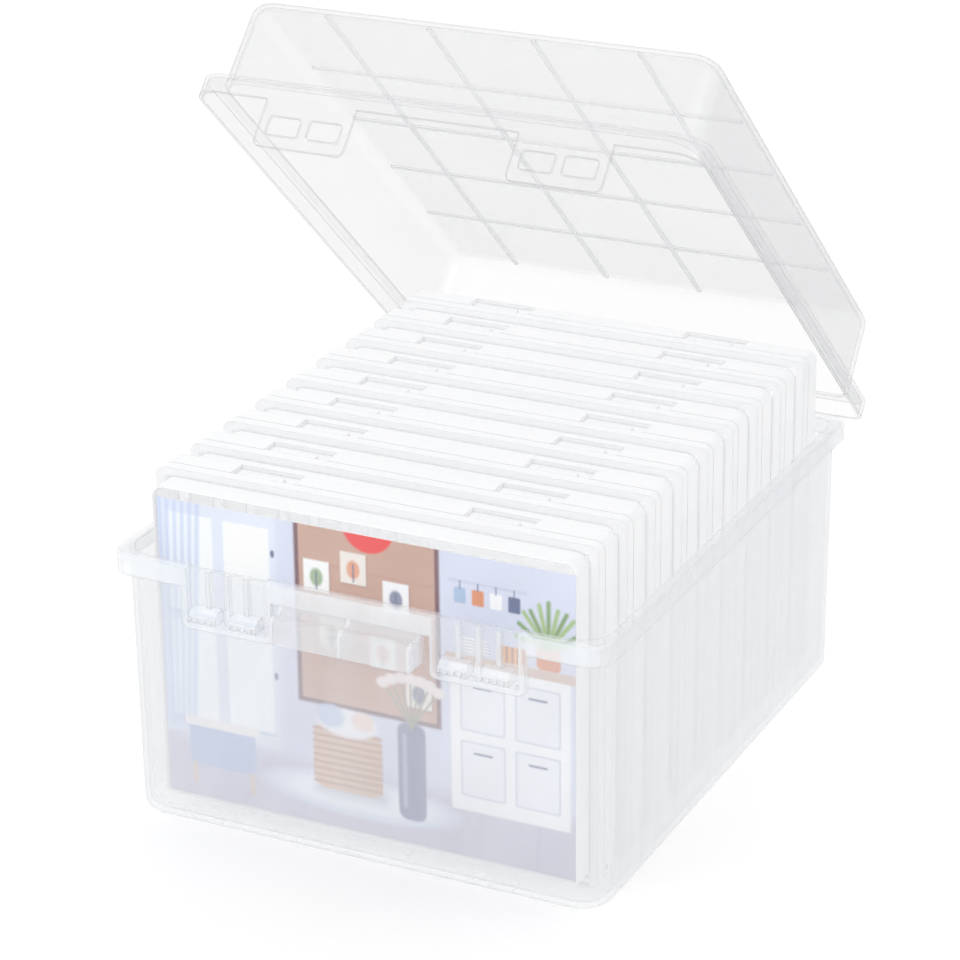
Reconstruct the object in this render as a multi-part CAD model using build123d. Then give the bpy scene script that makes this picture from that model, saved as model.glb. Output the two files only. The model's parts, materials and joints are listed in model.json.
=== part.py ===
from build123d import *
import math
import os

# A storage bin with a hinged, domed lid that holds a row of flat picture cases.
# Millimetres, +Z up. The origin is the middle of the bin's underside, and -Y is the latched front.
# The lid is drawn closed and then turned open about its hinge pins.

# ---- picture and the flat case that holds it ----
PRINT_WIDTH = 178.0
PRINT_HEIGHT = 127.0
PRINT_THICKNESS = 0.3
PRINT_PLAY = 0.3            # gap beside, under and in front of the picture
PRINT_HEAD_ROOM = 4.3       # gap over the picture, inside the cover

CASE_COUNT = 9
CASE_WALL = 1.2
CASE_SPACING = 0.3          # air between one case and the next
CASE_CORNER = 4.0           # corner radius of a case seen from the front
DOOR_DEPTH = 10.6           # narrower front of a case
DOOR_FOOT = 5.8             # door's lower edge above the underside of the case
DOOR_TOP_CORNER = 5.5
DOOR_FOOT_CORNER = 1.5
BAND_DEPTH = 5.4            # full-width band behind the door, part of the cover
TRAY_DEPTH = 9.5
BAND_SIDE_STEP = 3.8        # how far the band stands out beside the door
BAND_TOP_STEP = 3.2         # how far the band stands up over the door
SEAM_GAP = 0.2              # gap between cover and tray
SPIGOT_DEPTH = 3.6          # cover's spigot, which sits in the tray's mouth
SPIGOT_PLAY = 0.3

# ---- snaps on top of a case ----
SNAP_SPREAD = 50.0          # middle of the case to the middle of a snap
TONGUE_WIDTH = 17.0
TONGUE_THICKNESS = 1.3
TONGUE_REACH = 3.3          # how far a tongue reaches over the tray
HOOK_WIDTH = 14.4
HOOK_THICKNESS = 0.8
HOOK_DROP = 1.6
SLOT_WIDTH = 15.0
SLOT_DEPTH = 1.9            # slot in the tray that the hook drops into
POCKET_WIDTH = 28.0
POCKET_DEPTH = 1.7
POCKET_REAR_WALL = 1.0
SNAP_PLAY = 0.2

# ---- pivots at the foot of a case ----
PIVOT_RADIUS = 1.2
PIVOT_LENGTH = 1.0
PIVOT_FIT = 0.08
PIVOT_RISE = 6.0            # pivot above the underside of the case
PIVOT_BACK = 2.0            # pivot behind the tray's front edge

# ---- bin ----
BIN_HEIGHT = 114.3
BIN_WALL = 1.8
BIN_FLOOR = 2.4
FRONT_GAP = 4.1             # floor-level gaps between the bin and the row of cases
REAR_GAP = 2.4
SIDE_GAP = 6.3
BIN_DRAFT = 0.43            # degrees
BIN_FRONT_CORNER = 13.0
BIN_REAR_CORNER = 8.0
BIN_FOOT_ROUND = 5.0
RIM_OVERHANG = 2.6
RIM_FRONT_CORNER = 10.0
RIM_REAR_CORNER = 4.0
RIM_DEPTH = 8.3
RIM_LIP = 1.3
RIM_TOP = 1.6
RIM_ROUND = 1.1

# ---- latch wells in the bin's front rim ----
LATCH_SPREAD = 53.6         # middle of the bin to the middle of a latch
WELL_WIDTH = 34.0
WELL_FRAME = 2.7
WELL_DROP = 22.9            # well's floor below the top of the rim
WELL_WALL_DROP = 0.8        # bin wall is this much lower inside the well
WELL_CORNER = 3.0
WELL_RIB_COUNT = 3
WELL_RIB_PITCH = 8.4
WELL_RIB_WIDTH = 2.2
WELL_RIB_PROUD = 1.4
CATCH_WIDTH = 12.0
CATCH_HEIGHT = 4.8
CATCH_RAMP = 2.2            # height of its sloped top
CATCH_PROUD = 1.5           # how far a catch stands through the closed tab
CATCH_PLAY = 0.35           # catch above the lower edge of its window
CATCH_TEETH = 4
CATCH_TOOTH_DEPTH = 0.9
CATCH_TOOTH_HEIGHT = 1.6

# ---- pull between the latches ----
PULL_WIDTH = 60.0
PULL_DROP = 20.7
PULL_REACH = 8.4            # how far its lower edge stands in front of the rim
PULL_WALL = 1.6
PULL_SHOULDER = 6.0         # height of the bend where the pull leaves the rim

# ---- lid ----
LID_WALL = 1.7
LID_FIT = 0.4               # gap between rim and skirt
LID_REST_GAP = 0.2
LID_HEADROOM = 5.8          # cases' tops to the inside of the closed lid
LID_DRAFT = 1.5             # degrees
DOME_FRONT_CORNER = 13.0
DOME_REAR_CORNER = 8.0
LID_ROUND = 6.5             # round between the dome's walls and its top
SKIRT_WALL = 1.4
SKIRT_DEPTH = 8.5
SKIRT_ROUND = 1.4
SHELF_SIDES = 6.5           # ledge between skirt and dome
SHELF_ENDS = 4.2
TAB_WIDTH = 39.0
TAB_DROP = 20.0             # tab's lower edge below the skirt
TAB_CORNER = 3.0
WINDOW_WIDTH = 13.6
WINDOW_HEIGHT = 7.8
WINDOW_PITCH = 17.6
WINDOW_BAR = 5.4            # strip of the tab below its windows
WINDOW_CORNER = 1.5
GRID_ALONG = 4              # ribs from front to rear
GRID_ACROSS = 4
GRID_ALONG_PITCH = 44.5
GRID_ACROSS_PITCH = 45.4
GRID_SHIFT = 2.0            # the crosswise ribs sit this far to the rear
GRID_RIB_WIDTH = 1.6
GRID_RIB_HEIGHT = 0.9

# ---- hinge behind the rim ----
HINGE_SPREAD = 60.0
HINGE_BACK = 8.4            # pin behind the rim's rear face
HINGE_DROP = 25.3           # pin below the top of the rim
HINGE_PIN_RADIUS = 2.5
HINGE_FIT = 0.1
KNUCKLE_WALL = 2.2
KNUCKLE_MOUTH = 4.2         # the snap-on knuckle is open this wide
MOUTH_ANGLE = -60.0         # and this way, in degrees from the rear
ARM_ANGLE = 37.0            # where the arm's rear face meets the knuckle
ARM_SHOULDER = 7.7          # height above the pin where its front face bends
KNUCKLE_LENGTH = 24.0
EAR_THICKNESS = 3.0
EAR_PLAY = 0.5
EAR_RADIUS = 5.4
EAR_BELOW = 15.0            # where an ear leaves the wall, below and above the pin
EAR_ABOVE = 5.0
LID_OPEN = 42.6             # degrees, as drawn

# ---- worked out from the above ----
DOOR_WIDTH = PRINT_WIDTH + 2 * (PRINT_PLAY + CASE_WALL)
DOOR_HEIGHT = PRINT_PLAY + PRINT_HEIGHT + PRINT_HEAD_ROOM + 2 * CASE_WALL
CASE_WIDTH = DOOR_WIDTH + 2 * BAND_SIDE_STEP
CASE_HEIGHT = DOOR_FOOT + DOOR_HEIGHT + BAND_TOP_STEP
COVER_DEPTH = DOOR_DEPTH + BAND_DEPTH
TRAY_FRONT = COVER_DEPTH + SEAM_GAP
CASE_DEPTH = TRAY_FRONT + TRAY_DEPTH
CASE_PITCH = CASE_DEPTH + CASE_SPACING
ROW_LENGTH = CASE_COUNT * CASE_PITCH - CASE_SPACING
TONGUE_END = TRAY_FRONT + TONGUE_REACH
SLOT_END = TONGUE_END + SLOT_DEPTH - HOOK_THICKNESS

INSIDE_X = CASE_WIDTH / 2 + SIDE_GAP
INSIDE_Y = (FRONT_GAP + ROW_LENGTH + REAR_GAP) / 2
ROW_START = FRONT_GAP - INSIDE_Y
CASE_TOP = BIN_FLOOR + CASE_HEIGHT

INNER_FOOT_BEVEL = REAR_GAP       # so that the last case stands clear of it
BIN_FLARE = BIN_HEIGHT * math.tan(math.radians(BIN_DRAFT))
FOOT_X = INSIDE_X + BIN_WALL
FOOT_Y = INSIDE_Y + BIN_WALL
WALL_X = FOOT_X + BIN_FLARE     # outside of the wall at the rim
WALL_Y = FOOT_Y + BIN_FLARE
RIM_X = WALL_X + RIM_OVERHANG
RIM_Y = WALL_Y + RIM_OVERHANG

SKIRT_X = RIM_X + LID_FIT + SKIRT_WALL
SKIRT_Y = RIM_Y + LID_FIT + SKIRT_WALL
SKIRT_FRONT_CORNER = RIM_FRONT_CORNER + LID_FIT + SKIRT_WALL
SKIRT_REAR_CORNER = RIM_REAR_CORNER + LID_FIT + SKIRT_WALL
SHELF_UNDER = BIN_HEIGHT + LID_REST_GAP
SHELF_TOP = SHELF_UNDER + LID_WALL
SKIRT_FOOT = SHELF_TOP - SKIRT_DEPTH
CEILING = CASE_TOP + LID_HEADROOM
LID_TOP = CEILING + LID_WALL
DOME_X = SKIRT_X - SHELF_SIDES
DOME_Y = SKIRT_Y - SHELF_ENDS

HINGE_Y = RIM_Y + HINGE_BACK
HINGE_Z = BIN_HEIGHT - HINGE_DROP
WELL_FLOOR = BIN_HEIGHT - WELL_DROP
TAB_FOOT = SKIRT_FOOT - TAB_DROP
WINDOW_FOOT = TAB_FOOT + WINDOW_BAR
CATCH_FOOT = WINDOW_FOOT + CATCH_PLAY

BOTH_SIDES = (-1, 1)
THROUGH = 10.0              # how far a cutting tool runs past what it cuts


def wall_face(z):
    """Distance from the middle to the outside of the front wall at a height."""
    return FOOT_Y + z * math.tan(math.radians(BIN_DRAFT))


def block(x0, x1, y0, y1, z0, z1):
    """A box between two corners."""
    middle = ((x0 + x1) / 2, (y0 + y1) / 2, (z0 + z1) / 2)
    return Pos(*middle) * Box(x1 - x0, y1 - y0, z1 - z0)


def plan(half_x, half_y, front_corner, rear_corner):
    """Outline seen from above, with its own corner radius at the front and at the rear."""
    outline = Rectangle(2 * half_x, 2 * half_y)
    outline = fillet(outline.vertices().group_by(Axis.Y)[0], front_corner)
    return fillet(outline.vertices().group_by(Axis.Y)[-1], rear_corner)


def drafted(outline, z0, z1, degrees):
    """Solid between two heights. Its walls lean out from the lower outline, or in if negative."""
    solid = Pos(0, 0, z0) * extrude(outline, z1 - z0)
    walls = solid.faces().sort_by(Axis.Z)[1:-1]
    return draft(walls, Plane.XY.offset(z0), -degrees)


def slab(outline, z0, z1):
    return Pos(0, 0, z0) * extrude(outline, z1 - z0)


def panel(width, height, corner, depth):
    """Upright plate with rounded corners: X across, Z up from 0, Y from 0 to its depth."""
    outline = Pos(0, height / 2) * RectangleRounded(width, height, corner)
    return extrude(Plane.XZ * outline, -depth)


def inner_panel(width, height, corner, depth):
    """Like a panel, with flat-cut corners that touch the round ones. They don't show from outside."""
    cut = corner * (2 - math.sqrt(2))
    outline = Pos(0, height / 2) * chamfer(Rectangle(width, height).vertices(), cut)
    return extrude(Plane.XZ * outline, -depth)


def profile_across(points, half_width):
    """Solid with an outline in Y and Z, the same all the way across."""
    outline = make_face(Polyline(*points, close=True))
    return extrude(Plane.YZ * outline, half_width, both=True)


# ---------------------------------------------------------------- bin

def bin_shell():
    outline = plan(FOOT_X, FOOT_Y, BIN_FRONT_CORNER, BIN_REAR_CORNER)
    outside = drafted(outline, 0, BIN_HEIGHT, BIN_DRAFT)
    outside = fillet(outside.edges().group_by(Axis.Z)[0], BIN_FOOT_ROUND)
    hollow = plan(INSIDE_X, INSIDE_Y, BIN_FRONT_CORNER - BIN_WALL, BIN_REAR_CORNER - BIN_WALL)
    inside = drafted(hollow, BIN_FLOOR, BIN_HEIGHT, BIN_DRAFT)
    inside = chamfer(inside.edges().group_by(Axis.Z)[0], INNER_FOOT_BEVEL)
    return outside - inside


def rim():
    """Rolled rim: a flat top with a lip that hangs outside the wall."""
    under = BIN_HEIGHT - RIM_DEPTH
    outside = slab(plan(RIM_X, RIM_Y, RIM_FRONT_CORNER, RIM_REAR_CORNER), under, BIN_HEIGHT)
    outside = fillet(outside.edges().group_by(Axis.Z)[-1], RIM_ROUND)
    channel = slab(
        plan(RIM_X - RIM_LIP, RIM_Y - RIM_LIP, RIM_FRONT_CORNER - RIM_LIP, RIM_REAR_CORNER - RIM_LIP),
        under, BIN_HEIGHT - RIM_TOP)
    bore = slab(
        plan(WALL_X - BIN_WALL / 2, WALL_Y - BIN_WALL / 2, BIN_FRONT_CORNER, BIN_REAR_CORNER),
        under, BIN_HEIGHT)
    return outside - channel - bore


def well_opening(side):
    """Air inside one latch well, in front of the wall."""
    middle = side * LATCH_SPREAD
    return block(
        middle - WELL_WIDTH / 2, middle + WELL_WIDTH / 2,
        -RIM_Y - THROUGH, -wall_face(WELL_FLOOR), WELL_FLOOR, BIN_HEIGHT + THROUGH)


def well_frame(side):
    """U of wall that hangs from the rim round one latch well."""
    foot = WELL_FLOOR - WELL_FRAME
    plate = panel(
        WELL_WIDTH + 2 * WELL_FRAME, BIN_HEIGHT - RIM_ROUND - foot + WELL_CORNER, WELL_CORNER,
        RIM_Y - wall_face(foot) + BIN_WALL / 2)
    plate = Pos(side * LATCH_SPREAD, -RIM_Y, foot) * plate
    over = block(-RIM_X, RIM_X, -RIM_Y - THROUGH, 0, BIN_HEIGHT - RIM_ROUND, BIN_HEIGHT + THROUGH)
    return plate - over


def well_ribs(side):
    """Upright ribs on the wall at the back of one latch well."""
    ribs = []
    for number in range(WELL_RIB_COUNT):
        offset = (number - (WELL_RIB_COUNT - 1) / 2) * WELL_RIB_PITCH
        middle = side * LATCH_SPREAD + offset
        face = wall_face(BIN_HEIGHT) + WELL_RIB_PROUD
        ribs.append(block(
            middle - WELL_RIB_WIDTH / 2, middle + WELL_RIB_WIDTH / 2,
            -face, -wall_face(WELL_FLOOR) + BIN_WALL / 2, WELL_FLOOR - WELL_FRAME / 2,
            BIN_HEIGHT - WELL_WALL_DROP))
    return ribs


def catch(middle):
    """Ramped block that stands through a window of the closed tab, with teeth along its foot."""
    front = -(SKIRT_Y + CATCH_PROUD)
    root = -wall_face(CATCH_FOOT) + BIN_WALL / 2
    top = CATCH_FOOT + CATCH_HEIGHT
    side = [
        (root, CATCH_FOOT), (front, CATCH_FOOT), (front, top - CATCH_RAMP),
        (front + CATCH_RAMP, top), (root, top)]
    body = Pos(middle, 0, 0) * profile_across(side, CATCH_WIDTH / 2)
    pitch = CATCH_WIDTH / CATCH_TEETH
    for number in range(CATCH_TEETH):
        x = middle + (number - (CATCH_TEETH - 1) / 2) * pitch
        body -= block(
            x - pitch / 4, x + pitch / 4, front, front + CATCH_TOOTH_DEPTH,
            CATCH_FOOT, CATCH_FOOT + CATCH_TOOTH_HEIGHT)
    return body


def pull():
    """Lip between the latches that flares out from the rim, with webs at its ends and middle."""
    rim_face, pull_face = -RIM_Y, -(RIM_Y + PULL_REACH)
    foot = BIN_HEIGHT - PULL_DROP
    bend = BIN_HEIGHT - RIM_DEPTH + RIM_ROUND
    root = -wall_face(foot) + BIN_WALL / 2
    half = PULL_WIDTH / 2

    def flare(inset):
        """Two arcs that run down from the rim and out to the pull, upright at both ends."""
        start, end = (rim_face + inset, bend), (pull_face + inset, bend - PULL_SHOULDER)
        middle = ((start[0] + end[0]) / 2, (start[1] + end[1]) / 2)
        return TangentArc(start, middle, tangent=(0, -1)), TangentArc(end, middle, tangent=(0, 1))

    outer, inner = flare(0), flare(PULL_WALL)
    lip = make_face([*outer, *inner, Line(inner[0] @ 0, outer[0] @ 0), *Polyline(
        outer[1] @ 0, (pull_face, foot), (pull_face + PULL_WALL, foot), inner[1] @ 0).edges()])
    web = make_face([*outer, *Polyline(
        outer[1] @ 0, (pull_face, foot), (root, foot), (root, bend), outer[0] @ 0).edges()])
    pieces = [extrude(Plane.YZ * lip, half, both=True)]
    for x in (-half + PULL_WALL / 2, 0, half - PULL_WALL / 2):
        pieces.append(Pos(x, 0, 0) * extrude(Plane.YZ * web, PULL_WALL / 2, both=True))
    return pieces


def hinge_bracket(side):
    """Two ears on the rear wall with a pin moulded between them."""
    middle = side * HINGE_SPREAD
    gap = KNUCKLE_LENGTH / 2 + EAR_PLAY
    wall = wall_face(HINGE_Z - EAR_BELOW) - BIN_WALL / 2
    foot = [(wall, HINGE_Z - EAR_BELOW), (wall, HINGE_Z + EAR_ABOVE)]
    outline = make_hull([
        Line(*foot), *(Pos(HINGE_Y, HINGE_Z) * Circle(EAR_RADIUS)).edges()])
    pieces = []
    for end in BOTH_SIDES:
        ear = extrude(Plane.YZ * outline, EAR_THICKNESS / 2, both=True)
        pieces.append(Pos(middle + end * (gap + EAR_THICKNESS / 2), 0, 0) * ear)
    pin = Cylinder(HINGE_PIN_RADIUS, 2 * gap + EAR_THICKNESS)
    pieces.append(Pos(middle, HINGE_Y, HINGE_Z) * Rot(0, 90, 0) * pin)
    return pieces


def make_bin():
    body = bin_shell() + rim()
    for side in BOTH_SIDES:
        body += well_frame(side)
        body -= well_opening(side)
        middle = side * LATCH_SPREAD
        body -= block(
            middle - WELL_WIDTH / 2, middle + WELL_WIDTH / 2, -RIM_Y - THROUGH, -INSIDE_Y + BIN_WALL,
            BIN_HEIGHT - WELL_WALL_DROP, BIN_HEIGHT + THROUGH)
        body += well_ribs(side)
        for end in BOTH_SIDES:
            body += catch(middle + end * WINDOW_PITCH / 2)
        body += hinge_bracket(side)
    return body + pull()


# ---------------------------------------------------------------- lid

def dome_solid(inset, top, round_top):
    """The dome's outside, or its hollow inset by the wall."""
    outline = plan(
        DOME_X - inset, DOME_Y - inset, DOME_FRONT_CORNER - inset, DOME_REAR_CORNER - inset)
    solid = drafted(outline, SHELF_UNDER, top, -LID_DRAFT)
    return fillet(solid.edges().group_by(Axis.Z)[-1], round_top)


def skirt():
    """Ledge and skirt that drop over the rim."""
    outside = slab(plan(SKIRT_X, SKIRT_Y, SKIRT_FRONT_CORNER, SKIRT_REAR_CORNER), SKIRT_FOOT, SHELF_TOP)
    outside = fillet(outside.edges().group_by(Axis.Z)[-1], SKIRT_ROUND)
    inside = slab(
        plan(SKIRT_X - SKIRT_WALL, SKIRT_Y - SKIRT_WALL,
             SKIRT_FRONT_CORNER - SKIRT_WALL, SKIRT_REAR_CORNER - SKIRT_WALL),
        SKIRT_FOOT, SHELF_UNDER)
    return outside - inside


def tab(side):
    """Snap tab that hangs from the front skirt, with two windows for the catches."""
    root = (SKIRT_FOOT + SHELF_TOP) / 2
    middle = Pos(side * LATCH_SPREAD, -SKIRT_Y, TAB_FOOT)
    plate = middle * panel(TAB_WIDTH, root - TAB_FOOT, TAB_CORNER, SKIRT_WALL)
    for end in BOTH_SIDES:
        window = panel(WINDOW_WIDTH, WINDOW_HEIGHT, WINDOW_CORNER, SKIRT_WALL + 2 * THROUGH)
        plate -= middle * Pos(end * WINDOW_PITCH / 2, -THROUGH, WINDOW_BAR) * window
    return plate


def grid_ribs():
    """Lattice under the top of the dome."""
    lean = (LID_TOP - SHELF_UNDER) * math.tan(math.radians(LID_DRAFT))
    reach_x = DOME_X - lean - LID_ROUND
    reach_y = DOME_Y - lean - LID_ROUND
    low, high = CEILING - GRID_RIB_HEIGHT, CEILING + LID_WALL / 2
    half = GRID_RIB_WIDTH / 2
    ribs = []
    for number in range(GRID_ALONG):
        x = (number - (GRID_ALONG - 1) / 2) * GRID_ALONG_PITCH
        ribs.append(block(x - half, x + half, -reach_y, reach_y, low, high))
    for number in range(GRID_ACROSS):
        y = (number - (GRID_ACROSS - 1) / 2) * GRID_ACROSS_PITCH + GRID_SHIFT
        ribs.append(block(-reach_x, reach_x, y - half, y + half, low, high))
    return ribs


def hinge_arm(side):
    """Arm that reaches from the rear skirt down to a snap-on knuckle round the pin."""
    outer = HINGE_PIN_RADIUS + HINGE_FIT + KNUCKLE_WALL
    meets = math.radians(ARM_ANGLE)
    inner_face = SKIRT_Y - SKIRT_WALL
    top = (SKIRT_FOOT + SHELF_TOP) / 2
    arm = make_face(Polyline(
        (inner_face, top), (SKIRT_Y, top), (SKIRT_Y, SKIRT_FOOT),
        (HINGE_Y + outer * math.cos(meets), HINGE_Z + outer * math.sin(meets)), (HINGE_Y, HINGE_Z),
        (HINGE_Y - outer, HINGE_Z), (inner_face, HINGE_Z + ARM_SHOULDER), close=True))
    section = arm + Pos(HINGE_Y, HINGE_Z) * Circle(outer)
    section -= Pos(HINGE_Y, HINGE_Z) * Circle(HINGE_PIN_RADIUS + HINGE_FIT)
    mouth = Rectangle(outer * 2, KNUCKLE_MOUTH, align=(Align.MIN, Align.CENTER))
    section -= Pos(HINGE_Y, HINGE_Z) * Rot(0, 0, MOUTH_ANGLE) * mouth
    return Pos(side * HINGE_SPREAD, 0, 0) * extrude(Plane.YZ * section, KNUCKLE_LENGTH / 2, both=True)


def make_lid():
    lid = skirt() + dome_solid(0, LID_TOP, LID_ROUND)
    lid -= dome_solid(LID_WALL, CEILING, LID_ROUND - LID_WALL)
    lid += grid_ribs()
    for side in BOTH_SIDES:
        lid += tab(side)
        lid += hinge_arm(side)
    return lid.rotate(Axis((0, HINGE_Y, HINGE_Z), (1, 0, 0)), -LID_OPEN)


# ---------------------------------------------------------------- flat picture case
# A case is drawn with its front face at Y 0, its middle at X 0 and its underside at Z 0.

def over_snaps(half_width, front, rear, low, high):
    """One box over each snap."""
    return [
        block(side * SNAP_SPREAD - half_width, side * SNAP_SPREAD + half_width, front, rear, low, high)
        for side in BOTH_SIDES]


def pivot_pin(radius, length, x):
    pin = Rot(0, 90, 0) * Cylinder(radius, length)
    return Pos(x, TRAY_FRONT + PIVOT_BACK, PIVOT_RISE) * pin


def make_tray():
    """Rear half of a case: a shallow tray, open to the front, with a pocket and a slot for each snap."""
    outside = Pos(0, TRAY_FRONT, 0) * panel(CASE_WIDTH, CASE_HEIGHT, CASE_CORNER, TRAY_DEPTH)
    outside = chamfer(outside.edges().group_by(Axis.Y)[-1], CASE_WALL / 2)
    inner = inner_panel(
        CASE_WIDTH - 2 * CASE_WALL, CASE_HEIGHT - 2 * CASE_WALL, CASE_CORNER - CASE_WALL, TRAY_DEPTH)
    inside = Pos(0, TRAY_FRONT - CASE_WALL, CASE_WALL) * inner
    pocket_floor = CASE_HEIGHT - POCKET_DEPTH
    inside -= over_snaps(
        POCKET_WIDTH / 2 + CASE_WALL, 0, CASE_DEPTH, pocket_floor - CASE_WALL, CASE_HEIGHT)
    tray = outside - inside
    tray -= over_snaps(
        POCKET_WIDTH / 2, 0, CASE_DEPTH - POCKET_REAR_WALL, pocket_floor, CASE_HEIGHT + THROUGH)
    tray -= over_snaps(
        SLOT_WIDTH / 2, SLOT_END - SLOT_DEPTH, SLOT_END, pocket_floor - 2 * CASE_WALL, CASE_HEIGHT)
    return tray - pivot_pin(PIVOT_RADIUS + PIVOT_FIT, CASE_WIDTH + THROUGH, 0)


def door_outline(inset):
    """The door seen from the front. Its lower corners are barely round, and square on the inside."""
    width, height = DOOR_WIDTH - 2 * inset, DOOR_HEIGHT - 2 * inset
    outline = Pos(0, height / 2) * Rectangle(width, height)
    if not inset:
        outline = fillet(outline.vertices().group_by(Axis.Y)[0], DOOR_FOOT_CORNER)
    return fillet(outline.vertices().group_by(Axis.Y)[-1], DOOR_TOP_CORNER - inset)


def door_block(inset, front, rear):
    """Solid behind the door's outline, from one depth to another."""
    return Pos(0, front, DOOR_FOOT + inset) * extrude(Plane.XZ * door_outline(inset), front - rear)


def band_block(inset, front, rear):
    """Solid of the case's full width and height, less an inset, from one depth to another."""
    form = inner_panel if inset else panel
    return Pos(0, front, inset) * form(
        CASE_WIDTH - 2 * inset, CASE_HEIGHT - 2 * inset, CASE_CORNER - inset, rear - front)


def tongue(side):
    """Snap tongue on the cover's rear edge, with a hook that drops into the tray's slot."""
    middle = side * SNAP_SPREAD
    top = CASE_HEIGHT - SNAP_PLAY
    strip = block(
        middle - TONGUE_WIDTH / 2, middle + TONGUE_WIDTH / 2, COVER_DEPTH - CASE_WALL, TONGUE_END,
        top - TONGUE_THICKNESS, top)
    hook = block(
        middle - HOOK_WIDTH / 2, middle + HOOK_WIDTH / 2, TONGUE_END - HOOK_THICKNESS, TONGUE_END,
        top - TONGUE_THICKNESS - HOOK_DROP, top)
    return strip + hook


def make_cover():
    """Front half of a case: a clear door with a wider band, a spigot, two pivots and two snaps."""
    door = door_block(0, 0, DOOR_DEPTH + CASE_WALL)
    door = chamfer(door.edges().group_by(Axis.Y)[0], CASE_WALL / 2)
    spigot_inset = CASE_WALL + SPIGOT_PLAY
    spigot_end = TRAY_FRONT + SPIGOT_DEPTH
    band = band_block(0, DOOR_DEPTH, COVER_DEPTH)
    spigot = band_block(spigot_inset, COVER_DEPTH - CASE_WALL, spigot_end)
    pocket_floor = CASE_HEIGHT - POCKET_DEPTH
    spigot -= over_snaps(
        POCKET_WIDTH / 2 + CASE_WALL + SPIGOT_PLAY, COVER_DEPTH, spigot_end + THROUGH,
        pocket_floor - CASE_WALL - SPIGOT_PLAY, CASE_HEIGHT)
    cover = door + band + spigot
    cover -= door_block(CASE_WALL, CASE_WALL, COVER_DEPTH)
    cover -= band_block(CASE_WALL, DOOR_DEPTH + CASE_WALL, COVER_DEPTH - CASE_WALL)
    cover -= band_block(spigot_inset + CASE_WALL, COVER_DEPTH - 2 * CASE_WALL, spigot_end + THROUGH)
    for side in BOTH_SIDES:
        cover += tongue(side)
        x = side * (CASE_WIDTH / 2 - spigot_inset + PIVOT_LENGTH / 2)
        cover += pivot_pin(PIVOT_RADIUS, PIVOT_LENGTH + CASE_WALL, x - side * CASE_WALL / 2)
    return cover


def make_print():
    """Sheet that stands just behind the door's face."""
    sheet = Box(PRINT_WIDTH, PRINT_THICKNESS, PRINT_HEIGHT, align=(Align.CENTER, Align.MIN, Align.MIN))
    return Pos(0, CASE_WALL + PRINT_PLAY, DOOR_FOOT + CASE_WALL + PRINT_PLAY) * sheet


def case_place(number):
    """Where a case stands in the row, counted from the front."""
    return Pos(0, ROW_START + (number - 1) * CASE_PITCH, BIN_FLOOR)


def build():
    tray, cover = make_tray(), make_cover()
    nodes = {"bin": make_bin(), "lid": make_lid(), "photo_print": case_place(1) * make_print()}
    for number in range(1, CASE_COUNT + 1):
        nodes[f"case_{number}_tray"] = case_place(number) * tray
        nodes[f"case_{number}_cover"] = case_place(number) * cover
    return nodes


def main():
    os.makedirs("parts", exist_ok=True)
    for name, shape in build().items():
        export_step(shape, f"parts/{name}.step")


main()
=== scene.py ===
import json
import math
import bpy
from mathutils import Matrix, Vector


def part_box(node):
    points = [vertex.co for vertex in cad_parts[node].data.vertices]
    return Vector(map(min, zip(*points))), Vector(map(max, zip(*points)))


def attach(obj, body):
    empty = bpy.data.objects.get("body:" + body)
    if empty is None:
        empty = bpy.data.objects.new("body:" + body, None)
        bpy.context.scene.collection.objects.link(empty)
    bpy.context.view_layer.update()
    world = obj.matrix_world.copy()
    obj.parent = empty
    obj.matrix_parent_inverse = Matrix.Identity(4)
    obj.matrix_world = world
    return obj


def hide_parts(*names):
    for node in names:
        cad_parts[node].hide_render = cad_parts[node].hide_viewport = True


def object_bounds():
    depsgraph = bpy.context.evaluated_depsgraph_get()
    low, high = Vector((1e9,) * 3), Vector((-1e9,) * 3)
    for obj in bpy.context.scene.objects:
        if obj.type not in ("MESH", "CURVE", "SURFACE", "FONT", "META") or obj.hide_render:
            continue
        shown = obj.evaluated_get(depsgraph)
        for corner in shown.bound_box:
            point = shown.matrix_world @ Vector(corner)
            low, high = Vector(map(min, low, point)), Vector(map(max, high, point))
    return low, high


bl_info = {
    "name": "Picture Case Dresser",
    "version": (1, 0, 0),
    "blender": (4, 5, 0),
    "location": "3D View > Sidebar > Picture Case",
    "description": "Finishes, picture and studio for a clear storage bin that holds a row of picture cases",
    "category": "Object",
}

import bmesh
import bpy
import numpy as np
from bpy.props import FloatProperty, FloatVectorProperty, IntProperty, PointerProperty
from mathutils import Matrix, Vector

MM = 0.001
IMAGE_SIDE = 960                # pixels

# Plastic
PLASTIC_IOR = 1.49
FLOW_SCALE = 14.0               # cloudy flow marks, per metre
FLOW_DARKER = 0.97              # colour of the flow marks, as a share of the tint
FINE_SCALE = 2400.0             # fine grain of the moulded faces, per metre
GRAIN_DEPTH = 0.05 * MM
EDGE_GAIN = 3.0                 # how soon a rounded edge counts as an edge
MASK_SAMPLES = 4                # rays of the masks for edges and nooks
CLEAR_LAYERS = 96               # faces of clear plastic that a ray may pass
GRAZE_POWER = 4.0               # how near to edge-on a face has to be seen
GRAZE_HAZE = 0.6                # how much more a face hides when it is seen along itself
# Colour of the painted shade on a face seen along itself.
GRAZE_SHADE = (0.36, 0.37, 0.39)
LIGHT_HAZE = 0.02               # share of the light that one face of clear plastic stops
THICK_HAZE = 0.22               # how much more the thick mouldings hide
THICK_TINT = (0.91, 0.945, 0.975)
NOOK_REACH = 1.5 * MM           # how far a nook's walls stand apart before light gets in
NOOK_SHADE = (0.66, 0.67, 0.69)

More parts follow.
